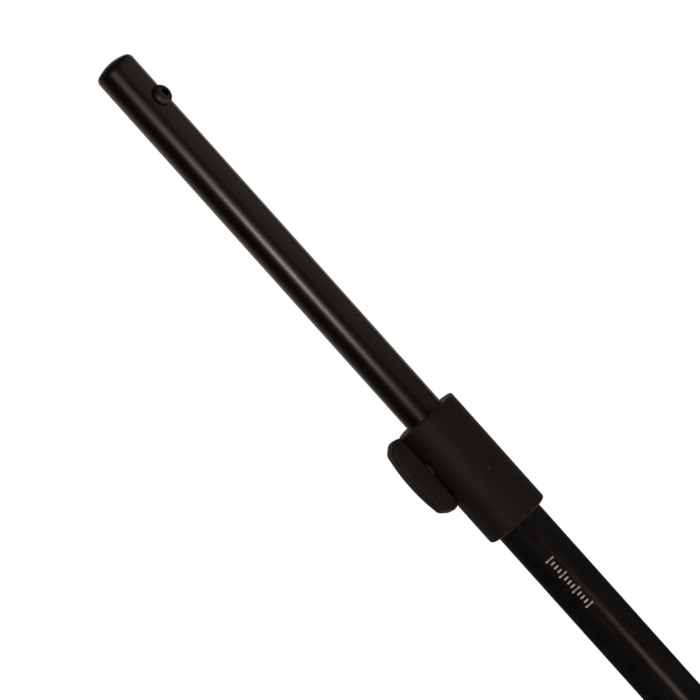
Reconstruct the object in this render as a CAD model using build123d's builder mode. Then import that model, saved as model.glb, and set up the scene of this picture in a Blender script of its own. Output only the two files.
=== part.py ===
from build123d import *
import os
from math import atan2, cos, degrees, radians, sin, sqrt

# Telescopic music stand column on a folding tripod, in millimetres.
# +Z is up. The origin is on the column's axis, at the floor.
# The clamp knobs point along -X, and the legs stand at 0, 120 and 240 degrees about Z.

# --- driving dimensions -------------------------------------------------------------------------
OUTER_TUBE_R = 12.7
OUTER_TUBE_WALL = 1.5
OUTER_TUBE_BOTTOM = 20.0
OUTER_TUBE_TOP = 640.0

INNER_TUBE_R = 10.5
INNER_TUBE_WALL = 1.2
INNER_TUBE_BOTTOM = 340.0
INNER_TUBE_TOP = 902.0

RUNNING_GAP = 0.05
SLIDING_GAP = 0.1
FREE_GAP = 0.3

COLLAR_R = 17.0
COLLAR_BOTTOM = 613.3
COLLAR_TOP = 681.0
SLEEVE_LENGTH = 20.0
SLEEVE_FLANGE = 1.5

KNOB_Z = COLLAR_TOP - 20.35
KNOB_GAP = 1.05
KNOB_NECK_R = 5.2
KNOB_THICKNESS = 9.2
KNOB_HALF_LENGTH = 21.95
STUD_R = 2.95
STUD_SOCKET = 8.0
INSERT_R = 4.0
INSERT_LENGTH = 3.0
PAD_R = 4.0
PAD_THICKNESS = 1.8
PAD_TRAVEL = 1.0

DOME_HEIGHT = 4.7
PLUG_LENGTH = 36.0
LOCATING_SCREW_Z = INNER_TUBE_TOP - 23.2
LOCATING_SCREW_AZIMUTH = -60.5
LOCATING_SCREW_R = 3.0

HINGE_R = 30.0
HUB_HINGE_Z = 40.0
HUB_BOTTOM = 12.0
HUB_TOP = 60.0
HUB_R = 20.0
ARM_LENGTH = 170.0
LEG_LENGTH = 400.0
OPEN_ANGLE = 55.0
FOLDED_ANGLE = 5.0
PIN_R = 2.5
EYE_R = 7.0

SLIDER_R = 20.0
SLIDER_BELOW_HINGE = 13.0
SLIDER_ABOVE_HINGE = 61.0
SLIDER_KNOB_ABOVE_HINGE = 34.0

LEG_TUBE_R = 8.0
LEG_TUBE_WALL = 1.0
LEG_TUBE_START = 18.0
LUG_THICKNESS = 10.0
FOOT_R = 10.5
FOOT_LENGTH = 40.0
FOOT_END = 408.0

STRAP_WIDTH = 12.0
STRAP_THICKNESS = 2.0
STRAP_INNER = LEG_TUBE_R + 0.4
RIVET_HEAD_R = 4.5
RIVET_HEAD_HEIGHT = 1.5

LEG_AZIMUTHS = (0, 120, 240)

# --- worked out from them -----------------------------------------------------------------------
OUTER_BORE_R = OUTER_TUBE_R - OUTER_TUBE_WALL
INNER_BORE_R = INNER_TUBE_R - INNER_TUBE_WALL
SHOULDER_Z = OUTER_TUBE_TOP + SLEEVE_FLANGE
SLIDER_HINGE_Z = HUB_HINGE_Z + 2 * ARM_LENGTH * cos(radians(OPEN_ANGLE))
SLIDER_TRAVEL = 2 * ARM_LENGTH * (cos(radians(FOLDED_ANGLE)) - cos(radians(OPEN_ANGLE)))
STRAP_OUTER = STRAP_INNER + STRAP_THICKNESS
SLIDER_KNOB_Z = SLIDER_HINGE_Z + SLIDER_KNOB_ABOVE_HINGE

os.makedirs("parts", exist_ok=True)


def save(builder, name):
    """Label a finished piece and write it to its own file."""
    builder.part.label = name
    export_step(builder.part, f"parts/{name}.step")


def side_plane(azimuth):
    """The upright plane through the axis at an azimuth: its x is the radius, its y is the height."""
    a = radians(azimuth)
    return Plane(origin=(0, 0, 0), x_dir=(cos(a), sin(a), 0), z_dir=(sin(a), -cos(a), 0))


def radial_plane(azimuth, height, radius=0.0):
    """A plane that faces outwards at an azimuth and height, that far from the axis."""
    a = radians(azimuth)
    out = Vector(cos(a), sin(a), 0)
    return Plane(origin=out * radius + Vector(0, 0, height), x_dir=(-sin(a), cos(a), 0), z_dir=out)


def arm_plane(azimuth, pivot_z, tilt, distance):
    """A plane across an arm that leaves the hinge at pivot_z, tilted from straight up by tilt."""
    a = radians(azimuth)
    out = Vector(cos(a), sin(a), 0)
    along = out * sin(radians(tilt)) + Vector(0, 0, cos(radians(tilt)))
    start = out * HINGE_R + Vector(0, 0, pivot_z)
    return Plane(origin=start + along * distance, x_dir=(-sin(a), cos(a), 0), z_dir=along)


def leg_plane(azimuth, distance):
    """A plane across a leg, that far below its hinge on the slider."""
    return arm_plane(azimuth, SLIDER_HINGE_Z, 180 - OPEN_ANGLE, distance)


# --- outer tube: the fixed lower half of the column ------------------------------------------------
COLLAR_SCREW_Z = COLLAR_BOTTOM + 11.0
COLLAR_SCREW_AZIMUTH = 90.0
COLLAR_SCREW_R = 2.0

with BuildPart() as outer_tube:
    with BuildSketch(Plane.XY.offset(OUTER_TUBE_BOTTOM)):
        Circle(OUTER_TUBE_R)
        Circle(OUTER_BORE_R, mode=Mode.SUBTRACT)
    extrude(amount=OUTER_TUBE_TOP - OUTER_TUBE_BOTTOM)
    with BuildSketch(radial_plane(COLLAR_SCREW_AZIMUTH, COLLAR_SCREW_Z)):
        Circle(COLLAR_SCREW_R)
    extrude(amount=COLLAR_R, mode=Mode.SUBTRACT)
save(outer_tube, "outer_tube")

# --- guide sleeve: flanged nylon bush in the outer tube's mouth ------------------------------------
SLEEVE_BORE_R = INNER_TUBE_R + SLIDING_GAP

with BuildPart() as guide_sleeve:
    with BuildSketch(Plane.XY.offset(OUTER_TUBE_TOP - SLEEVE_LENGTH)):
        Circle(OUTER_BORE_R)
    extrude(amount=SLEEVE_LENGTH)
    with BuildSketch(Plane.XY.offset(OUTER_TUBE_TOP)):
        Circle(OUTER_TUBE_R)
    extrude(amount=SLEEVE_FLANGE)
    with BuildSketch(Plane.XY.offset(OUTER_TUBE_TOP - SLEEVE_LENGTH)):
        Circle(SLEEVE_BORE_R)
    extrude(amount=SLEEVE_LENGTH + SLEEVE_FLANGE, mode=Mode.SUBTRACT)
save(guide_sleeve, "guide_sleeve")

# --- clamp collar: moulded body that joins the two tubes -------------------------------------------
SCREW_HEAD_R = 3.8
SCREW_HEAD_DEPTH = 2.6
POCKET_R = PAD_R + FREE_GAP


def pad_pocket(knob_z, bore_r):
    """Cut the radial pocket for a clamp pad and, outside it, the seat of its threaded insert."""
    pocket_depth = bore_r + PAD_THICKNESS + PAD_TRAVEL + SLIDING_GAP
    with BuildSketch(radial_plane(180, knob_z)) as pocket:
        Circle(POCKET_R)
    extrude(pocket.sketch, amount=pocket_depth, mode=Mode.SUBTRACT)
    with BuildSketch(radial_plane(180, knob_z, pocket_depth)) as insert_seat:
        Circle(INSERT_R)
    extrude(insert_seat.sketch, amount=3 * INSERT_LENGTH, mode=Mode.SUBTRACT)


with BuildPart() as clamp_collar:
    with BuildSketch(Plane.XY.offset(COLLAR_BOTTOM)):
        Circle(COLLAR_R)
    extrude(amount=COLLAR_TOP - COLLAR_BOTTOM)
    rims = clamp_collar.edges().filter_by(GeomType.CIRCLE).sort_by(Axis.Z)
    fillet(rims[-1], radius=1.2)
    fillet(rims[0], radius=1.5)
    with BuildSketch(Plane.XY.offset(COLLAR_BOTTOM)):
        Circle(OUTER_TUBE_R + RUNNING_GAP)
    extrude(amount=SHOULDER_Z - COLLAR_BOTTOM, mode=Mode.SUBTRACT)
    with BuildSketch(Plane.XY.offset(SHOULDER_Z)):
        Circle(INNER_TUBE_R + FREE_GAP)
    extrude(amount=COLLAR_TOP - SHOULDER_Z, mode=Mode.SUBTRACT)
    pad_pocket(KNOB_Z, INNER_TUBE_R + SLIDING_GAP)
    with BuildSketch(radial_plane(COLLAR_SCREW_AZIMUTH, COLLAR_SCREW_Z)):
        Circle(COLLAR_SCREW_R)
    extrude(amount=COLLAR_R + 1, mode=Mode.SUBTRACT)
    with BuildSketch(radial_plane(COLLAR_SCREW_AZIMUTH, COLLAR_SCREW_Z, COLLAR_R - SCREW_HEAD_DEPTH)):
        Circle(SCREW_HEAD_R + SLIDING_GAP)
    extrude(amount=SCREW_HEAD_DEPTH + 1, mode=Mode.SUBTRACT)
save(clamp_collar, "clamp_collar")

# --- collar screw: holds the collar on the outer tube, at the back --------------------------------
with BuildPart() as collar_screw:
    with BuildSketch(radial_plane(COLLAR_SCREW_AZIMUTH, COLLAR_SCREW_Z, OUTER_BORE_R)):
        Circle(COLLAR_SCREW_R)
    extrude(amount=COLLAR_R - SCREW_HEAD_DEPTH - OUTER_BORE_R)
    with BuildSketch(radial_plane(COLLAR_SCREW_AZIMUTH, COLLAR_SCREW_Z, COLLAR_R - SCREW_HEAD_DEPTH)):
        Circle(SCREW_HEAD_R)
    extrude(amount=SCREW_HEAD_DEPTH - 0.4)
    head_face = collar_screw.faces().sort_by(Axis.Y)[-1]
    fillet(head_face.edges(), radius=0.9)
    with BuildSketch(radial_plane(COLLAR_SCREW_AZIMUTH, COLLAR_SCREW_Z, COLLAR_R - 1.8)):
        Rectangle(3.6, 0.8)
        Rectangle(0.8, 3.6)
    extrude(amount=3, mode=Mode.SUBTRACT)
save(collar_screw, "collar_screw")


# --- clamp: brass insert, nylon pad, threaded stud and wing knob; one set on each sliding joint ----
def threaded_insert(name, knob_z, bore_r):
    """Brass insert pressed into the body; the stud turns in it."""
    start = bore_r + PAD_THICKNESS + PAD_TRAVEL + SLIDING_GAP
    with BuildPart() as insert:
        with BuildSketch(radial_plane(180, knob_z, start)):
            Circle(INSERT_R)
            Circle(STUD_R + RUNNING_GAP, mode=Mode.SUBTRACT)
        extrude(amount=INSERT_LENGTH)
    save(insert, name)


def clamp_pad(name, knob_z, bore_r):
    """Nylon pad with a hollowed face that bears on the tube."""
    with BuildPart() as pad:
        with BuildSketch(radial_plane(180, knob_z, bore_r - 2)):
            Circle(PAD_R)
        extrude(amount=PAD_THICKNESS + 2)
        with BuildSketch(Plane.XY.offset(knob_z - 2 * PAD_R)):
            Circle(bore_r)
        extrude(amount=4 * PAD_R, mode=Mode.SUBTRACT)
    save(pad, name)


def wing_knob(name, knob_z, body_r):
    """Oblong moulded knob: a straight inner edge, sloped and rounded ends and a bowed crown."""
    inner = body_r + KNOB_GAP
    crown = inner + 11.35
    shoulder = inner + 4.95
    corner = inner + 9.4
    corner_half = 18.5
    with BuildPart() as knob:
        with BuildSketch(Plane.XZ) as outline:
            with BuildLine():
                Polyline(
                    (-corner, knob_z - corner_half),
                    (-shoulder, knob_z - KNOB_HALF_LENGTH),
                    (-inner, knob_z - KNOB_HALF_LENGTH),
                    (-inner, knob_z + KNOB_HALF_LENGTH),
                    (-shoulder, knob_z + KNOB_HALF_LENGTH),
                    (-corner, knob_z + corner_half),
                )
                ThreePointArc(
                    (-corner, knob_z + corner_half),
                    (-crown, knob_z),
                    (-corner, knob_z - corner_half),
                )
            make_face()
            fillet(outline.vertices(), radius=3.2)
        extrude(amount=KNOB_THICKNESS / 2, both=True)
        fillet(knob.faces().filter_by(Axis.Y).edges(), radius=1.5)
        with BuildSketch(radial_plane(180, knob_z, body_r + SLIDING_GAP)):
            Circle(KNOB_NECK_R)
        extrude(amount=KNOB_GAP)
        with BuildSketch(radial_plane(180, knob_z, body_r)):
            Circle(STUD_R)
        extrude(amount=KNOB_GAP + STUD_SOCKET, mode=Mode.SUBTRACT)
    save(knob, name)


def knob_stud(name, knob_z, bore_r, body_r):
    """Steel stud moulded into the knob; its tip bears on the pad."""
    start = bore_r + PAD_THICKNESS + RUNNING_GAP
    end = body_r + KNOB_GAP + STUD_SOCKET
    with BuildPart() as stud:
        with BuildSketch(radial_plane(180, knob_z, start)):
            Circle(STUD_R)
        extrude(amount=end - start)
        tip = stud.faces().sort_by(Axis.X)[-1]
        chamfer(tip.edges(), length=0.5)
    save(stud, name)


PAD_BORE_R = INNER_TUBE_R + SLIDING_GAP
threaded_insert("clamp_insert", KNOB_Z, PAD_BORE_R)
clamp_pad("clamp_pad", KNOB_Z, PAD_BORE_R)
wing_knob("clamp_knob", KNOB_Z, COLLAR_R)
knob_stud("clamp_knob_stud", KNOB_Z, PAD_BORE_R, COLLAR_R)

# --- inner tube: the rising upper half of the column -----------------------------------------------
with BuildPart() as inner_tube:
    with BuildSketch(Plane.XY.offset(INNER_TUBE_BOTTOM)):
        Circle(INNER_TUBE_R)
        Circle(INNER_BORE_R, mode=Mode.SUBTRACT)
    extrude(amount=INNER_TUBE_TOP - INNER_TUBE_BOTTOM)
    with BuildSketch(radial_plane(LOCATING_SCREW_AZIMUTH, LOCATING_SCREW_Z)):
        Circle(LOCATING_SCREW_R + SLIDING_GAP)
    extrude(amount=2 * INNER_TUBE_R, mode=Mode.SUBTRACT)
save(inner_tube, "inner_tube")

# --- inner guide bush: nylon foot of the inner tube, which the tube turns on -----------------------
BUSH_HEAD = 14.0
BUSH_SPIGOT = 22.0

with BuildPart() as inner_guide_bush:
    with BuildSketch(Plane.XY.offset(INNER_TUBE_BOTTOM - SLIDING_GAP - BUSH_HEAD)):
        Circle(OUTER_BORE_R - SLIDING_GAP)
    extrude(amount=BUSH_HEAD)
    bush_rims = inner_guide_bush.edges().filter_by(GeomType.CIRCLE).sort_by(Axis.Z)
    chamfer(bush_rims[0], length=1.0)
    with BuildSketch(Plane.XY.offset(INNER_TUBE_BOTTOM - SLIDING_GAP)):
        Circle(INNER_BORE_R - RUNNING_GAP)
    extrude(amount=BUSH_SPIGOT)
    with BuildSketch(Plane.XY.offset(INNER_TUBE_BOTTOM - SLIDING_GAP - BUSH_HEAD)):
        Circle(INNER_BORE_R - 2.5)
    extrude(amount=BUSH_HEAD + BUSH_SPIGOT, mode=Mode.SUBTRACT)
save(inner_guide_bush, "inner_guide_bush")

# --- end plug: domed cap whose long spigot holds the locating screw --------------------------------
DOME_CORNER_R = 3.2
corner_x = INNER_TUBE_R - DOME_CORNER_R
crown_r = (corner_x**2 + DOME_HEIGHT**2 - DOME_CORNER_R**2) / (2 * (DOME_HEIGHT - DOME_CORNER_R))
crown_z = INNER_TUBE_TOP + DOME_HEIGHT - crown_r
corner_angle = degrees(atan2(INNER_TUBE_TOP - crown_z, corner_x))

with BuildPart() as end_plug:
    with BuildSketch(Plane.XZ):
        with BuildLine():
            Polyline(
                (INNER_TUBE_R, INNER_TUBE_TOP),
                (INNER_BORE_R, INNER_TUBE_TOP),
                (INNER_BORE_R, INNER_TUBE_TOP - PLUG_LENGTH),
                (0, INNER_TUBE_TOP - PLUG_LENGTH),
                (0, INNER_TUBE_TOP + DOME_HEIGHT),
            )
            CenterArc((0, crown_z), crown_r, start_angle=corner_angle, arc_size=90 - corner_angle)
            CenterArc((corner_x, INNER_TUBE_TOP), DOME_CORNER_R, start_angle=0, arc_size=corner_angle)
        make_face()
    revolve(axis=Axis.Z)
    with BuildSketch(radial_plane(LOCATING_SCREW_AZIMUTH, LOCATING_SCREW_Z, -3)):
        Circle(LOCATING_SCREW_R)
    extrude(amount=2 * INNER_TUBE_R, mode=Mode.SUBTRACT)
save(end_plug, "end_plug")

# --- locating screw: button-head socket screw that a desk's slot drops over ------------------------
SCREW_SEAT_R = INNER_TUBE_R + 0.02
BUTTON_R = 5.3
BUTTON_HEIGHT = 3.2
BUTTON_LAND = 0.7
SOCKET_ACROSS_FLATS = 4.0
SOCKET_DEPTH = 2.1

with BuildPart() as locating_screw:
    with BuildSketch(radial_plane(LOCATING_SCREW_AZIMUTH, LOCATING_SCREW_Z, -3)):
        Circle(LOCATING_SCREW_R)
    extrude(amount=SCREW_SEAT_R + 3)
    seat = radial_plane(LOCATING_SCREW_AZIMUTH, LOCATING_SCREW_Z, SCREW_SEAT_R)
    with BuildSketch(Plane(origin=seat.origin, x_dir=seat.x_dir, z_dir=seat.y_dir)):
        with BuildLine():
            Polyline((0, -BUTTON_HEIGHT), (0, 0), (BUTTON_R, 0), (BUTTON_R, -BUTTON_LAND))
            Line((0, -BUTTON_HEIGHT), (2.9, -BUTTON_HEIGHT))
            ThreePointArc((2.9, -BUTTON_HEIGHT), (4.5, -2.3), (BUTTON_R, -BUTTON_LAND))
        make_face()
    revolve(axis=Axis(seat.origin, seat.z_dir))
    with BuildSketch(seat.offset(BUTTON_HEIGHT - SOCKET_DEPTH)):
        RegularPolygon(SOCKET_ACROSS_FLATS / sqrt(3), 6)
    extrude(amount=SOCKET_DEPTH + 1, mode=Mode.SUBTRACT)
save(locating_screw, "locating_screw")

# --- hub: casting at the column's foot, with a tongue for each pair of braces ----------------------
HUB_SCREW_Z = HUB_TOP - 7.0
HUB_SCREW_R = 2.0
HUB_SCREW_AZIMUTHS = (60, 180, 300)
CAP_SPIGOT_R = 6.0

with BuildPart() as hub:
    with BuildSketch(Plane.XY.offset(HUB_BOTTOM)):
        Circle(HUB_R)
    extrude(amount=HUB_TOP - HUB_BOTTOM)
    hub_rims = hub.edges().filter_by(GeomType.CIRCLE)
    fillet(hub_rims, radius=1.5)
    for azimuth in LEG_AZIMUTHS:
        with BuildSketch(side_plane(azimuth)):
            with Locations((HINGE_R, HUB_HINGE_Z)):
                Circle(EYE_R)
                Rectangle(HINGE_R / 2, 2 * EYE_R, align=(Align.MAX, Align.CENTER))
        extrude(amount=LEG_TUBE_R, both=True)
        with BuildSketch(side_plane(azimuth)):
            with Locations((HINGE_R, HUB_HINGE_Z)):
                Circle(PIN_R)
        extrude(amount=HUB_R, both=True, mode=Mode.SUBTRACT)
    with BuildSketch(Plane.XY.offset(OUTER_TUBE_BOTTOM)):
        Circle(OUTER_TUBE_R + RUNNING_GAP)
    extrude(amount=HUB_TOP, mode=Mode.SUBTRACT)
    with BuildSketch(Plane.XY.offset(HUB_BOTTOM)):
        Circle(CAP_SPIGOT_R)
    extrude(amount=HUB_TOP, mode=Mode.SUBTRACT)
    for azimuth in HUB_SCREW_AZIMUTHS:
        with BuildSketch(radial_plane(azimuth, HUB_SCREW_Z)):
            Circle(HUB_SCREW_R)
        extrude(amount=2 * HUB_R, mode=Mode.SUBTRACT)
save(hub, "hub")

# --- hub screws: hold the outer tube in the hub ----------------------------------------------------
with BuildPart() as hub_screws:
    for azimuth in HUB_SCREW_AZIMUTHS:
        with BuildSketch(radial_plane(azimuth, HUB_SCREW_Z, OUTER_TUBE_R)):
            Circle(HUB_SCREW_R)
        extrude(amount=HUB_R - OUTER_TUBE_R + 0.1)
        with BuildSketch(radial_plane(azimuth, HUB_SCREW_Z, HUB_R)):
            Circle(3.6)
        extrude(amount=2.2, taper=20)
        with BuildSketch(radial_plane(azimuth, HUB_SCREW_Z, HUB_R + 0.9)):
            RegularPolygon(1.45, 6)
        extrude(amount=2, mode=Mode.SUBTRACT)
save(hub_screws, "hub_screws")

# --- bottom cap: closes the hub from below ---------------------------------------------------------
with BuildPart() as bottom_cap:
    with BuildSketch(Plane.XY.offset(HUB_BOTTOM - 3)):
        Circle(HUB_R - 2)
    extrude(amount=3)
    cap_rims = bottom_cap.edges().filter_by(GeomType.CIRCLE).sort_by(Axis.Z)
    fillet(cap_rims[0], radius=1.5)
    with BuildSketch(Plane.XY.offset(HUB_BOTTOM)):
        Circle(CAP_SPIGOT_R)
    extrude(amount=OUTER_TUBE_BOTTOM - HUB_BOTTOM)
save(bottom_cap, "bottom_cap")


# --- hinge pins: one headed pin for each brace pair on the hub and each leg on the slider ----------
def hinge_pins(name, hinge_z, head_at):
    """Pins with a rivet head at each end, head_at being the lateral distance of the heads."""
    with BuildPart() as pins:
        for azimuth in LEG_AZIMUTHS:
            with BuildSketch(side_plane(azimuth)):
                with Locations((HINGE_R, hinge_z)):
                    Circle(PIN_R)
            extrude(amount=head_at, both=True)
            for side in (-1, 1):
                with BuildSketch(side_plane(azimuth).offset(side * head_at)):
                    with Locations((HINGE_R, hinge_z)):
                        Circle(RIVET_HEAD_R)
                extrude(amount=side * RIVET_HEAD_HEIGHT, taper=25)
    save(pins, name)


SLIDER_EAR_INNER = LUG_THICKNESS / 2 + FREE_GAP
SLIDER_EAR_OUTER = SLIDER_EAR_INNER + 4.5
hinge_pins("brace_hinge_pins", HUB_HINGE_Z, STRAP_OUTER + FREE_GAP)
hinge_pins("leg_hinge_pins", SLIDER_HINGE_Z, SLIDER_EAR_OUTER)

# --- slider: moulded spreader that runs on the outer tube and carries the legs ---------------------
SLIDER_BOTTOM = SLIDER_HINGE_Z - SLIDER_BELOW_HINGE
SLIDER_TOP = SLIDER_HINGE_Z + SLIDER_ABOVE_HINGE
SLIDER_BORE_R = OUTER_TUBE_R + FREE_GAP

with BuildPart() as slider:
    with BuildSketch(Plane.XY.offset(SLIDER_BOTTOM)):
        Circle(SLIDER_R)
    extrude(amount=SLIDER_TOP - SLIDER_BOTTOM)
    slider_rims = slider.edges().filter_by(GeomType.CIRCLE)
    fillet(slider_rims, radius=1.5)
    for azimuth in LEG_AZIMUTHS:
        with BuildSketch(side_plane(azimuth)):
            with Locations((HINGE_R, SLIDER_HINGE_Z)):
                Circle(EYE_R)
                Rectangle(HINGE_R / 2, 2 * EYE_R, align=(Align.MAX, Align.CENTER))
        extrude(amount=SLIDER_EAR_OUTER, both=True)
        with BuildSketch(side_plane(azimuth)):
            with Locations((HINGE_R - EYE_R - 1, SLIDER_HINGE_Z)):
                Rectangle(3 * EYE_R, 4 * EYE_R, align=(Align.MIN, Align.CENTER))
        extrude(amount=SLIDER_EAR_INNER, both=True, mode=Mode.SUBTRACT)
        with BuildSketch(side_plane(azimuth)):
            with Locations((HINGE_R, SLIDER_HINGE_Z)):
                Circle(PIN_R)
        extrude(amount=SLIDER_R, both=True, mode=Mode.SUBTRACT)
    with BuildSketch(Plane.XY.offset(SLIDER_BOTTOM)):
        Circle(SLIDER_BORE_R)
    extrude(amount=SLIDER_TOP - SLIDER_BOTTOM, mode=Mode.SUBTRACT)
    pad_pocket(SLIDER_KNOB_Z, OUTER_TUBE_R + SLIDING_GAP)
save(slider, "slider")

SLIDER_PAD_BORE_R = OUTER_TUBE_R + SLIDING_GAP
threaded_insert("slider_insert", SLIDER_KNOB_Z, SLIDER_PAD_BORE_R)
clamp_pad("slider_pad", SLIDER_KNOB_Z, SLIDER_PAD_BORE_R)
wing_knob("slider_knob", SLIDER_KNOB_Z, SLIDER_R)
knob_stud("slider_knob_stud", SLIDER_KNOB_Z, SLIDER_PAD_BORE_R, SLIDER_R)

# --- legs: steel tube, hinge lug in its top end and rubber foot ------------------------------------
LUG_SPIGOT = 22.0
LEG_TUBE_END = LEG_LENGTH - 4.0


def leg_tube(number, azimuth):
    """Straight round tube from the lug to the foot."""
    with BuildPart() as tube:
        with BuildSketch(leg_plane(azimuth, LEG_TUBE_START)):
            Circle(LEG_TUBE_R)
            Circle(LEG_TUBE_R - LEG_TUBE_WALL, mode=Mode.SUBTRACT)
        extrude(amount=LEG_TUBE_END - LEG_TUBE_START)
    save(tube, f"leg_{number}_tube")


def leg_lug(number, azimuth):
    """Flat eye for the hinge pin, on a round spigot that plugs the tube."""
    with BuildPart() as lug:
        with BuildSketch(side_plane(azimuth)):
            with Locations((HINGE_R, SLIDER_HINGE_Z)):
                Circle(EYE_R)
                with Locations(Rotation(0, 0, -90 + OPEN_ANGLE)):
                    Rectangle(LEG_TUBE_START, 2 * EYE_R, align=(Align.MIN, Align.CENTER))
        extrude(amount=LUG_THICKNESS / 2, both=True)
        with BuildSketch(leg_plane(azimuth, LEG_TUBE_START)):
            Circle(LEG_TUBE_R - LEG_TUBE_WALL)
        extrude(amount=LUG_SPIGOT)
        with BuildSketch(side_plane(azimuth)):
            with Locations((HINGE_R, SLIDER_HINGE_Z)):
                Circle(PIN_R + RUNNING_GAP)
        extrude(amount=LUG_THICKNESS, both=True, mode=Mode.SUBTRACT)
    save(lug, f"leg_{number}_lug")


def leg_foot(number, azimuth):
    """Rubber cap over the leg's end, flat where it stands on the floor."""
    with BuildPart() as foot:
        with BuildSketch(leg_plane(azimuth, FOOT_END - FOOT_LENGTH)):
            Circle(FOOT_R)
        extrude(amount=FOOT_LENGTH)
        tip = foot.faces().filter_by(GeomType.PLANE).sort_by(Axis.Z)[0]
        fillet(tip.edges(), radius=3.0)
        mouth = foot.faces().filter_by(GeomType.PLANE).sort_by(Axis.Z)[-1]
        fillet(mouth.edges(), radius=0.8)
        with BuildSketch(leg_plane(azimuth, FOOT_END - FOOT_LENGTH)):
            Circle(LEG_TUBE_R)
        extrude(amount=LEG_TUBE_END - FOOT_END + FOOT_LENGTH, mode=Mode.SUBTRACT)
        split(bisect_by=Plane.XY, keep=Keep.TOP)
    save(foot, f"leg_{number}_foot")


# --- braces: two flat straps each side of a leg, riveted to it halfway -----------------------------
def brace_strap(number, azimuth, side, name):
    """Flat strap with a round eye at each end."""
    with BuildPart() as strap:
        inner_face = side_plane(azimuth).offset(side * STRAP_INNER)
        with BuildSketch(inner_face):
            with Locations((HINGE_R, HUB_HINGE_Z)):
                with Locations(Rotation(0, 0, 90 - OPEN_ANGLE)):
                    Rectangle(ARM_LENGTH, STRAP_WIDTH, align=(Align.MIN, Align.CENTER))
                    with Locations((0, 0), (ARM_LENGTH, 0)):
                        Circle(STRAP_WIDTH / 2)
                    Circle(PIN_R + RUNNING_GAP, mode=Mode.SUBTRACT)
                    with Locations((ARM_LENGTH, 0)):
                        Circle(PIN_R, mode=Mode.SUBTRACT)
        extrude(amount=side * STRAP_THICKNESS)
    save(strap, f"brace_{number}_{name}")


def brace_rivets(number, azimuth):
    """Rivet ends that pin the two straps to the leg; the shank between them is left out."""
    reach = ARM_LENGTH
    r = HINGE_R + reach * sin(radians(OPEN_ANGLE))
    z = HUB_HINGE_Z + reach * cos(radians(OPEN_ANGLE))
    with BuildPart() as rivets:
        for side in (-1, 1):
            with BuildSketch(side_plane(azimuth).offset(side * (LEG_TUBE_R + SLIDING_GAP))):
                with Locations((r, z)):
                    Circle(PIN_R)
            extrude(amount=side * (STRAP_OUTER - LEG_TUBE_R - SLIDING_GAP))
            with BuildSketch(side_plane(azimuth).offset(side * STRAP_OUTER)):
                with Locations((r, z)):
                    Circle(RIVET_HEAD_R)
            extrude(amount=side * RIVET_HEAD_HEIGHT, taper=25)
    save(rivets, f"brace_{number}_rivets")


for number, azimuth in enumerate(LEG_AZIMUTHS, start=1):
    leg_tube(number, azimuth)
    leg_lug(number, azimuth)
    leg_foot(number, azimuth)
    brace_strap(number, azimuth, -1, "right_strap")
    brace_strap(number, azimuth, 1, "left_strap")
    brace_rivets(number, azimuth)

fold_turn = radians(OPEN_ANGLE - FOLDED_ANGLE)
print("slider travel", round(SLIDER_TRAVEL, 3), "mm, leg turn per metre", round(1000 * fold_turn / SLIDER_TRAVEL, 5))
print("slider hinge height", round(SLIDER_HINGE_Z, 3), "knob heights", KNOB_Z, round(SLIDER_KNOB_Z, 3))
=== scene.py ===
import math

import bpy
from mathutils import Matrix, Vector


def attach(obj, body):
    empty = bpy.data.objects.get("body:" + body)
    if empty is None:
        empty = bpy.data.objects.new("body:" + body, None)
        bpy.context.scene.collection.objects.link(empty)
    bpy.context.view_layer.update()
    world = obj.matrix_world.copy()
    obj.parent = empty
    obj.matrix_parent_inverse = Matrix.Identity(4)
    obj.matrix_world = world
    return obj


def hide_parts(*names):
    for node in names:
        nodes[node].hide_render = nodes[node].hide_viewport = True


# Telescopic music stand column on a folding tripod, in metres, as it stands on the floor.
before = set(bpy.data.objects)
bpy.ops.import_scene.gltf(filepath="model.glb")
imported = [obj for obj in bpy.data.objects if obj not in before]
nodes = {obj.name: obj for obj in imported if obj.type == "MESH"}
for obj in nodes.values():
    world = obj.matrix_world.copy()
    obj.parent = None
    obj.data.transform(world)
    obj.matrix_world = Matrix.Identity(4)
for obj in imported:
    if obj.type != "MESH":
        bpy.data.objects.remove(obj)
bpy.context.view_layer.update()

# --- Outer tube ----------------------------------------------------------------------------------
# The fixed lower half of the column: a drawn steel tube of 25.4 mm with a 1.5 mm wall, cut square,
# its rims broken, and painted black. It stands in the hub and carries the collar on its mouth.
OUTER_R = 0.0127
OUTER_WALL = 0.0015
OUTER_BOTTOM = 0.020
OUTER_TOP = 0.640


def fresh():
    """Leave edit mode and deselect everything."""
    if bpy.context.object and bpy.context.object.mode != "OBJECT":
        bpy.ops.object.mode_set(mode="OBJECT")
    bpy.ops.object.select_all(action="DESELECT")


def settle(name, material, smooth_angle=32):
    """Name the active piece, put its place in its mesh, smooth it and give it its material."""
    piece = bpy.context.object
    if piece.mode != "OBJECT":
        bpy.ops.object.mode_set(mode="OBJECT")
    bpy.ops.object.transform_apply(location=True, rotation=True, scale=True)
    bpy.ops.object.shade_smooth_by_angle(angle=math.radians(smooth_angle))
    modify("WEIGHTED_NORMAL", keep_sharp=True)
    piece.name = name
    piece.data.materials.clear()
    piece.data.materials.append(material)
    return piece


def modify(kind, **settings):
    """Add a modifier to the active piece and apply it."""
    modifier = bpy.context.object.modifiers.new(kind.title(), kind)
    for key, value in settings.items():
        setattr(modifier, key, value)
    bpy.ops.object.modifier_apply(modifier=modifier.name)


def hex_colour(text):
    """A #rrggbb sRGB colour as linear RGBA."""
    parts = [int(text[i : i + 2], 16) / 255 for i in (1, 3, 5)]
    return [c / 12.92 if c <= 0.04045 else ((c + 0.055) / 1.055) ** 2.4 for c in parts] + [1.0]


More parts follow.
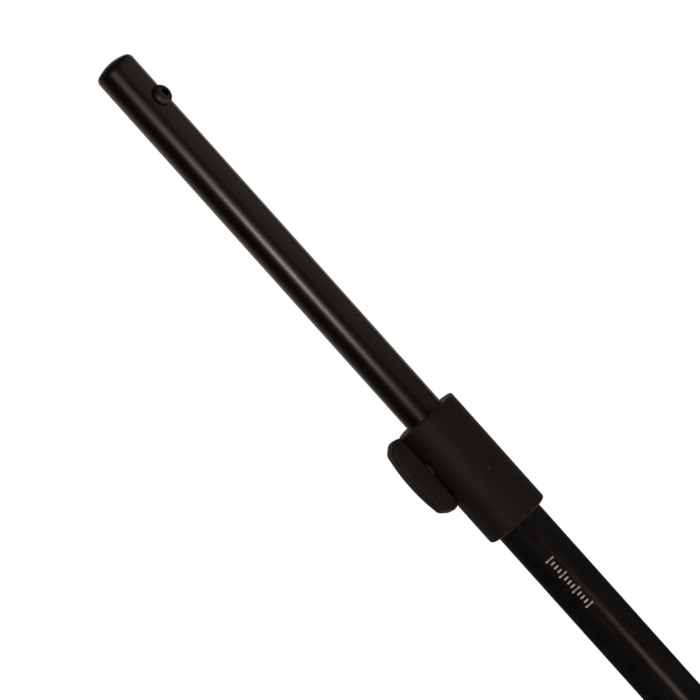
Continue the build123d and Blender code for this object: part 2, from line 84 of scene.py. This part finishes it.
def add_node(tree, kind, values={}, links={}, **settings):
    """Add one node: its settings, the numbers on its sockets and what is linked to them."""
    node = tree.nodes.new(kind)
    for key, value in settings.items():
        setattr(node, key, value)
    for socket, value in values.items():
        node.inputs[socket].default_value = value
    for socket, source in links.items():
        tree.links.new(source, node.inputs[socket])
    return node


def finish(name, dark, light, patch_mm, rough, rough_swing, grain_mm, grain_depth_mm,
           metallic=0.0, drawn=1.0):
    """A surface with clouded colour, uneven gloss and a raised grain; drawn stretches it along Z."""
    material = bpy.data.materials.new(name)
    material.use_nodes = True
    tree = material.node_tree
    shader = tree.nodes["Principled BSDF"]
    shader.inputs["Metallic"].default_value = metallic
    coords = add_node(tree, "ShaderNodeTexCoord")
    place = add_node(tree, "ShaderNodeMapping", {"Scale": (1, 1, 1 / drawn)},
                     {"Vector": coords.outputs["Object"]})
    clouds = add_node(tree, "ShaderNodeTexNoise",
                      {"Scale": 1000 / patch_mm, "Detail": 5.0, "Roughness": 0.6},
                      {"Vector": place.outputs["Vector"]})
    spread = add_node(tree, "ShaderNodeMapRange", {"From Min": 0.3, "From Max": 0.7},
                      {"Value": clouds.outputs["Fac"]})
    colour = add_node(tree, "ShaderNodeMix", {6: hex_colour(dark), 7: hex_colour(light)},
                      {0: spread.outputs["Result"]}, data_type="RGBA")
    gloss = add_node(tree, "ShaderNodeMapRange", {"From Min": 0.3, "From Max": 0.7,
                     "To Min": rough - rough_swing, "To Max": rough + rough_swing},
                     {"Value": clouds.outputs["Fac"]})
    grain = add_node(tree, "ShaderNodeTexNoise", {"Scale": 1000 / grain_mm, "Detail": 2.0},
                     {"Vector": coords.outputs["Object"]})
    bump = add_node(tree, "ShaderNodeBump", {"Strength": 1.0, "Distance": grain_depth_mm / 1000},
                    {"Height": grain.outputs["Fac"]})
    tree.links.new(colour.outputs[2], shader.inputs["Base Color"])
    tree.links.new(gloss.outputs["Result"], shader.inputs["Roughness"])
    tree.links.new(bump.outputs["Normal"], shader.inputs["Normal"])
    return material


def dust(material, spacing_mm, speck_mm, tint):
    """Sparse pale specks of dust on a finish, one in each cell of a grid that size."""
    tree = material.node_tree
    shader = tree.nodes["Principled BSDF"]
    under = shader.inputs["Base Color"].links[0].from_socket
    coords = add_node(tree, "ShaderNodeTexCoord")
    cells = add_node(tree, "ShaderNodeTexVoronoi", {"Scale": 1000 / spacing_mm, "Randomness": 1.0},
                     {"Vector": coords.outputs["Object"]})
    near = add_node(tree, "ShaderNodeMapRange", {"From Min": speck_mm / spacing_mm,
                    "From Max": 0.5 * speck_mm / spacing_mm}, {"Value": cells.outputs["Distance"]})
    speckled = add_node(tree, "ShaderNodeMix", {7: hex_colour(tint)},
                        {0: near.outputs["Result"], 6: under}, data_type="RGBA")
    tree.links.new(speckled.outputs[2], shader.inputs["Base Color"])


def dress(material, *names):
    """Give CAD nodes that stay on show their material."""
    for name in names:
        nodes[name].data.materials.clear()
        nodes[name].data.materials.append(material)


# Stoved black paint on drawn steel: deep and slightly warm, with a soft orange peel about 1.5 mm
# across that breaks up the highlight, and a little dust.
paint = finish("stoved_black_paint", "#090806", "#0f0d0b", 9, 0.27, 0.025, 1.5, 0.0006, drawn=4.0)
dust(paint, 14, 0.14, "#5d5a55")


def tube(name, radius, wall, low, high, material, turned=Matrix()):
    """A straight tube with broken rims, upright unless it is turned."""
    fresh()
    bpy.ops.mesh.primitive_cylinder_add(vertices=160, radius=radius, depth=high - low,
                                        end_fill_type="NOTHING", location=(0, 0, (low + high) / 2))
    modify("SOLIDIFY", thickness=wall, offset=-1)
    modify("BEVEL", width=0.00025, segments=3, limit_method="ANGLE", angle_limit=math.radians(60))
    bpy.context.object.matrix_world = turned @ bpy.context.object.matrix_world
    return settle(name, material)


outer_tube = tube("painted_outer_tube", OUTER_R, OUTER_WALL, OUTER_BOTTOM, OUTER_TOP, paint)
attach(outer_tube, "column")
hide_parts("outer_tube")

# --- Height marks --------------------------------------------------------------------------------
# A short pad-printed scale on the outer tube under the collar: plain ticks in pale grey ink, a few
# hundredths of a millimetre thick, with a longer one at every fourth.
MARKS_TOP = 0.5905
MARK_PITCH = 0.0024
MARK_HEIGHT = 0.0008
INK_THICKNESS = 0.00004
INK_PROUD = 0.00003
MARK_AZIMUTH = -119.6

# Screen ink: matt, chalky and very slightly uneven.
ink = finish("pale_grey_ink", "#dedcd8", "#efeeea", 1.2, 0.55, 0.08, 0.4, 0.002)


def pick_faces(piece, wanted):
    """Go into edit mode with only the wanted faces selected."""
    bpy.ops.object.mode_set(mode="EDIT")
    bpy.ops.mesh.select_mode(type="FACE")
    bpy.ops.mesh.select_all(action="DESELECT")
    bpy.ops.object.mode_set(mode="OBJECT")
    for face in piece.data.polygons:
        face.select = wanted(face)
    bpy.ops.object.mode_set(mode="EDIT")


def ticks(name, width, count, pitch, top):
    """A column of curved ticks that wide, cut from a thin band round the tube."""
    fresh()
    bpy.ops.mesh.primitive_cylinder_add(vertices=360, radius=OUTER_R + INK_PROUD, depth=MARK_HEIGHT,
                                        end_fill_type="NOTHING", location=(0, 0, top))
    band = bpy.context.object
    out = Vector((math.cos(math.radians(MARK_AZIMUTH)), math.sin(math.radians(MARK_AZIMUTH)), 0))
    half = width / OUTER_R / 2
    pick_faces(band, lambda face: face.normal.angle(out) > half)
    bpy.ops.mesh.delete(type="FACE")
    bpy.ops.object.mode_set(mode="OBJECT")
    modify("SOLIDIFY", thickness=INK_THICKNESS, offset=-1)
    modify("ARRAY", count=count, use_relative_offset=False, use_constant_offset=True,
           constant_offset_displace=(0, 0, -pitch))
    piece = settle(name, ink)
    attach(piece, "column")
    return piece


ticks("short_height_marks", 0.0026, 13, MARK_PITCH, MARKS_TOP)
ticks("long_height_marks", 0.0046, 4, 4 * MARK_PITCH, MARKS_TOP)

# --- Hub and slider ------------------------------------------------------------------------------
# The hub at the foot of the column and the slider above it are moulded in glass-filled nylon. Three
# zinc-plated grub screws hold the hub on the tube, and plated pins carry the braces and the legs.

# Glass-filled nylon, spark-eroded mould: dark warm grey, matt, with a sandy grain of about 0.5 mm.
nylon = finish("glass_filled_nylon", "#14110f", "#1a1613", 6, 0.55, 0.05, 0.5, 0.010)
nylon.node_tree.nodes["Principled BSDF"].inputs["Specular IOR Level"].default_value = 0.28
dust(nylon, 14, 0.16, "#6d6a65")
# Bright zinc plate: cool silver with cloudy passivation and fine tumbling marks.
zinc = finish("bright_zinc_plate", "#9fa3a8", "#c3c4c2", 3, 0.32, 0.08, 0.3, 0.003, metallic=1.0)
dress(nylon, "hub", "bottom_cap", "slider")
dress(zinc, "hub_screws", "brace_hinge_pins", "leg_hinge_pins")

# --- Braces --------------------------------------------------------------------------------------
# Pairs of flat painted steel straps, punched and rounded at the ends, that run from the hub's
# tongues to the legs. Their zinc-plated rivet ends stop just short of the legs' walls.
for leg in "123":
    dress(paint, f"brace_{leg}_left_strap", f"brace_{leg}_right_strap")
    dress(zinc, f"brace_{leg}_rivets")

# --- Legs ----------------------------------------------------------------------------------------
# Three 16 mm painted steel tubes, each with a moulded nylon lug pressed into its top end and a
# ribbed rubber foot pushed over the other.
LEG_R = 0.008
LEG_WALL = 0.001
LEG_START = 0.018
HINGE = Vector((0.030, 0, 0.235016))
LEG_TILT = math.radians(125)
FOOT_R = 0.0105
FOOT_START = 0.368
FOOT_END = 0.408
SOCKET_END = 0.396
RIBS_START = 0.374
RIB_PITCH = 0.0036
GROOVES = 6

dress(nylon, "leg_1_lug", "leg_2_lug", "leg_3_lug")
# Moulded rubber: near black, dull, with a grey bloom.
rubber = finish("moulded_black_rubber", "#121212", "#1c1b1a", 8, 0.72, 0.08, 0.35, 0.012)


def along_leg(azimuth):
    """Turns what is modelled up the Z axis into a leg's line, from its hinge on the slider."""
    return (Matrix.Rotation(math.radians(azimuth), 4, "Z") @ Matrix.Translation(HINGE)
            @ Matrix.Rotation(LEG_TILT, 4, "Y"))


def rubber_foot(name, azimuth):
    """A ribbed cap over the leg's end, with rounded rims, cut flat at the floor."""
    fresh()
    bpy.ops.mesh.primitive_cylinder_add(vertices=96, radius=FOOT_R, depth=FOOT_END - FOOT_START,
                                        location=(0, 0, (FOOT_START + FOOT_END) / 2))
    bpy.ops.object.transform_apply(location=True)
    foot = bpy.context.object
    bpy.ops.object.mode_set(mode="EDIT")
    grooves = [RIBS_START + RIB_PITCH * ring for ring in range(GROOVES)]
    for groove in grooves:
        for offset in (0.0, 0.0004, 0.0012, 0.0016):
            bpy.ops.mesh.select_all(action="SELECT")
            bpy.ops.mesh.bisect(plane_co=(0, 0, groove + offset), plane_no=(0, 0, 1))
    bpy.ops.object.mode_set(mode="OBJECT")
    for corner in foot.data.vertices:
        if any(groove + 0.0003 < corner.co.z < groove + 0.0013 for groove in grooves):
            corner.co.x *= 0.95
            corner.co.y *= 0.95
    pick_faces(foot, lambda face: face.normal.z > 0.9)
    bpy.ops.mesh.bevel(offset=0.003, segments=6, affect="EDGES")
    bpy.ops.object.mode_set(mode="OBJECT")
    pick_faces(foot, lambda face: face.normal.z < -0.9)
    bpy.ops.mesh.inset(thickness=FOOT_R - LEG_R - 0.00002)
    bpy.ops.mesh.extrude_region_move(TRANSFORM_OT_translate={"value": (0, 0, SOCKET_END - FOOT_START)})
    bpy.ops.object.mode_set(mode="OBJECT")
    modify("BEVEL", width=0.0007, segments=3, limit_method="ANGLE", angle_limit=math.radians(80))
    foot.matrix_world = along_leg(azimuth) @ foot.matrix_world
    bpy.ops.object.transform_apply(location=True, rotation=True, scale=True)
    bpy.ops.object.mode_set(mode="EDIT")
    bpy.ops.mesh.select_all(action="SELECT")
    bpy.ops.mesh.bisect(plane_co=(0, 0, 0), plane_no=(0, 0, 1), use_fill=True, clear_inner=True,
                        threshold=0.000001)
    return settle(name, rubber)


for number, azimuth in (("1", 0), ("2", 120), ("3", 240)):
    leg = tube(f"painted_leg_{number}", LEG_R, LEG_WALL, LEG_START, SOCKET_END, paint,
               along_leg(azimuth))
    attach(leg, f"leg_{number}")
    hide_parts(f"leg_{number}_tube")
    foot = rubber_foot(f"ribbed_foot_{number}", azimuth)
    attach(foot, f"leg_{number}")
    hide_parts(f"leg_{number}_foot")

# --- Clamp collar --------------------------------------------------------------------------------
# A plain moulded cylinder over the joint of the two tubes, held by one screw at the back; the nylon
# guide sleeve sits inside it in the tube's mouth.

# Natural nylon: milky, with a soft sheen.
milky = finish("natural_nylon", "#d8d2c2", "#e6e1d3", 4, 0.45, 0.05, 0.5, 0.004)
dress(nylon, "clamp_collar")
dress(milky, "guide_sleeve")
dress(zinc, "collar_screw")

# The mould's gate leaves one small pale witness mark on the collar's face.
GATE_AZIMUTH = -91.1
GATE_RADIUS = 0.0003
GATE_PLACE = (0.01696, 0, 0.6433)

# The sheared gate: a shade paler and rougher than the skin round it.
witness = finish("moulding_witness", "#4a4540", "#5a544e", 0.5, 0.6, 0.05, 0.2, 0.004)
fresh()
bpy.ops.mesh.primitive_cylinder_add(vertices=24, radius=GATE_RADIUS, depth=0.0002)
modify("BEVEL", width=0.00006, segments=2, limit_method="ANGLE")
gate = bpy.context.object
gate.matrix_world = (Matrix.Rotation(math.radians(GATE_AZIMUTH), 4, "Z") @ Matrix.Translation(GATE_PLACE)
                     @ Matrix.Rotation(math.radians(90), 4, "Y"))
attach(settle("collar_gate_mark", witness), "column")

# --- Clamp wings ---------------------------------------------------------------------------------
# Oblong wing knobs moulded round steel studs. Each stud turns in a brass insert and pushes a nylon
# pad against the tube.
CROWN_DEPTH = 0.006
CROWN_TAPER = 0.16

# Turned brass: yellow, with fine rings.
brass = finish("turned_brass", "#b08d45", "#c9a75a", 2, 0.28, 0.06, 0.15, 0.002, metallic=1.0)


def softened_knob(name, node, body, reach):
    """A copy of a wing knob with its crown edges rounded over, as the moulding is."""
    fresh()
    source = nodes[node]
    knob = bpy.data.objects.new(name, source.data.copy())
    bpy.context.scene.collection.objects.link(knob)
    knob.select_set(True)
    bpy.context.view_layer.objects.active = knob
    bpy.ops.object.mode_set(mode="EDIT")
    bpy.ops.mesh.select_all(action="SELECT")
    bpy.ops.mesh.remove_doubles(threshold=0.00001)
    bpy.ops.object.mode_set(mode="OBJECT")
    modify("REMESH", mode="VOXEL", voxel_size=0.0003)
    for corner in knob.data.vertices:
        past = max(0.0, -corner.co.x - reach)
        corner.co.y *= 1 - CROWN_TAPER * min(1.0, past / CROWN_DEPTH) ** 2
    modify("SMOOTH", factor=0.5, iterations=18)
    settle(name, nylon, 60)
    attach(knob, body)
    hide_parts(node)


softened_knob("rounded_clamp_knob", "clamp_knob", "clamp_wing", 0.0225)
softened_knob("rounded_slider_knob", "slider_knob", "slider_wing", 0.0255)
for place in ("clamp", "slider"):
    dress(zinc, f"{place}_knob_stud")
    dress(brass, f"{place}_insert")
    dress(milky, f"{place}_pad")

# --- Inner tube ----------------------------------------------------------------------------------
# The rising upper half of the column: a drawn steel tube of 21 mm, painted like the outer one, with
# a nylon guide bush in its foot.
INNER_R = 0.0105
INNER_WALL = 0.0012
INNER_BOTTOM = 0.340
INNER_TOP = 0.902

inner_tube = tube("painted_inner_tube", INNER_R, INNER_WALL, INNER_BOTTOM, INNER_TOP, paint)
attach(inner_tube, "upper_column")
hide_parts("inner_tube")
dress(milky, "inner_guide_bush")

# --- End plug and locating screw -----------------------------------------------------------------
# A domed plug moulded in black polyethylene and pushed into the tube, and below it a button-head
# socket screw, blacked steel, that a desk's slot drops over.

# Polyethylene: black, with a satin skin near the paint's own gloss.
plastic = finish("black_polyethylene", "#0c0b0a", "#12100e", 5, 0.3, 0.03, 0.8, 0.002)
plastic.node_tree.nodes["Principled BSDF"].inputs["Specular IOR Level"].default_value = 0.42
dress(plastic, "end_plug")
# Black oxide on steel: a dull dark metal that takes the tone of what stands round it.
oxide = finish("black_oxide_steel", "#48433f", "#544f4b", 2, 0.5, 0.05, 0.25, 0.002, metallic=1.0)
dress(oxide, "locating_screw")

# --- Floor, light and camera ---------------------------------------------------------------------
# A pale seamless floor and soft boxes round the stand. The camera looks slightly down on the top
# half of the column, rolled so that the column leans to the left.
fresh()
FLOOR_RADIUS = 1.9
bpy.ops.mesh.primitive_circle_add(vertices=128, radius=FLOOR_RADIUS, fill_type="NGON")

# Paper: white and matt, and it thins to nothing towards its rim so that no edge shows.
floor_material = bpy.data.materials.new("seamless_paper")
floor_material.use_nodes = True
tree = floor_material.node_tree
shader = tree.nodes["Principled BSDF"]
coords = add_node(tree, "ShaderNodeTexCoord")
radius = add_node(tree, "ShaderNodeVectorMath", {}, {0: coords.outputs["Object"]}, operation="LENGTH")
fade = add_node(tree, "ShaderNodeMapRange",
                {"From Min": 0.6, "From Max": 1.85, "To Min": 1.0, "To Max": 0.0},
                {"Value": radius.outputs["Value"]}, interpolation_type="SMOOTHSTEP")
tree.links.new(fade.outputs["Result"], shader.inputs["Alpha"])
shader.inputs["Base Color"].default_value = (0.88, 0.88, 0.87, 1)
shader.inputs["Roughness"].default_value = 0.9
shader.inputs["Emission Color"].default_value = (1, 1, 1, 1)
shader.inputs["Emission Strength"].default_value = 0.06
floor = settle("floor", floor_material)

TURN = math.radians(-22.6)
TILT = math.radians(3.1)
sideways = Vector((math.cos(TURN), math.sin(TURN), 0))
towards = Vector((math.sin(TURN), -math.cos(TURN), 0))


def soft_box(name, bearing, distance, height, width, tall, radiance, colour):
    """A rectangular light that faces the column, at a bearing to the right of the camera's."""
    light = bpy.data.lights.new(name, "AREA")
    light.shape = "RECTANGLE"
    light.size = width
    light.size_y = tall
    light.energy = math.pi * width * tall * radiance
    light.color = hex_colour(colour)[:3]
    lamp = bpy.data.objects.new(name, light)
    bpy.context.scene.collection.objects.link(lamp)
    angle = math.radians(bearing)
    out = towards * math.cos(angle) + sideways * math.sin(angle)
    lamp.location = out * distance + Vector((0, 0, height))
    lamp.rotation_euler = (-out).to_track_quat("-Z", "Y").to_euler()
    lamp.visible_camera = False


soft_box("key_box", -22, 0.6, 0.768, 0.14, 0.05, 27.0, "#ffead8")
soft_box("key_veil", -19, 0.7, 0.86, 0.40, 0.36, 1.1, "#ffead8")
soft_box("front_fill", 16, 0.9, 1.0, 0.5, 0.62, 0.12, "#ffead8")
soft_box("low_box", 19, 0.6, 0.36, 0.15, 0.08, 4.5, "#ffead8")
soft_box("right_wall", 72, 1.6, 1.27, 2.8, 1.4, 0.38, "#ffe8d4")
soft_box("right_base", 72, 1.6, 0.28, 2.8, 0.5, 0.04, "#ffe8d4")
soft_box("back_wall", 180, 2.0, 1.2, 5.0, 1.6, 0.5, "#ffead8")
soft_box("left_wing", -118, 2.2, 1.3, 1.6, 1.5, 0.28, "#ffead8")
top_light = bpy.data.lights.new("top_light", "AREA")
top_light.shape = "DISK"
top_light.size = 0.9
top_light.energy = 32
top_lamp = bpy.data.objects.new("top_light", top_light)
top_lamp.location = (0, 0, 2.6)
top_lamp.visible_camera = False
top_lamp.visible_glossy = False
bpy.context.scene.collection.objects.link(top_lamp)

world = bpy.data.worlds.new("studio")
bpy.context.scene.world = world
world.use_nodes = True
tree = world.node_tree
tree.nodes.clear()
rays = add_node(tree, "ShaderNodeLightPath")
dim = add_node(tree, "ShaderNodeBackground", {"Color": (1, 1, 1, 1), "Strength": 0.025})
white = add_node(tree, "ShaderNodeBackground", {"Color": (1, 1, 1, 1), "Strength": 1.0})
either = add_node(tree, "ShaderNodeMixShader", {},
                  {0: rays.outputs["Is Camera Ray"], 1: dim.outputs[0], 2: white.outputs[0]})
add_node(tree, "ShaderNodeOutputWorld", {}, {"Surface": either.outputs[0]})
bpy.context.scene.view_settings.view_transform = "Standard"

AIM = Vector((0, 0, 0.7284)) - sideways * 0.00566
DISTANCE = 1.4868
backwards = towards * math.cos(TILT) + Vector((0, 0, math.sin(TILT)))
upwards = backwards.cross(sideways)
ROLL_UP, ROLL_ACROSS = 0.74514, 0.66693
camera_up = upwards * ROLL_UP + sideways * ROLL_ACROSS
camera_right = sideways * ROLL_UP - upwards * ROLL_ACROSS
lens = bpy.data.cameras.new("camera")
lens.sensor_width = 36.0
lens.lens = 159.43
camera = bpy.data.objects.new("camera", lens)
bpy.context.scene.collection.objects.link(camera)
camera.matrix_world = Matrix.Translation(AIM + backwards * DISTANCE) @ Matrix(
    (camera_right, camera_up, backwards)).transposed().to_4x4()
bpy.context.scene.camera = camera
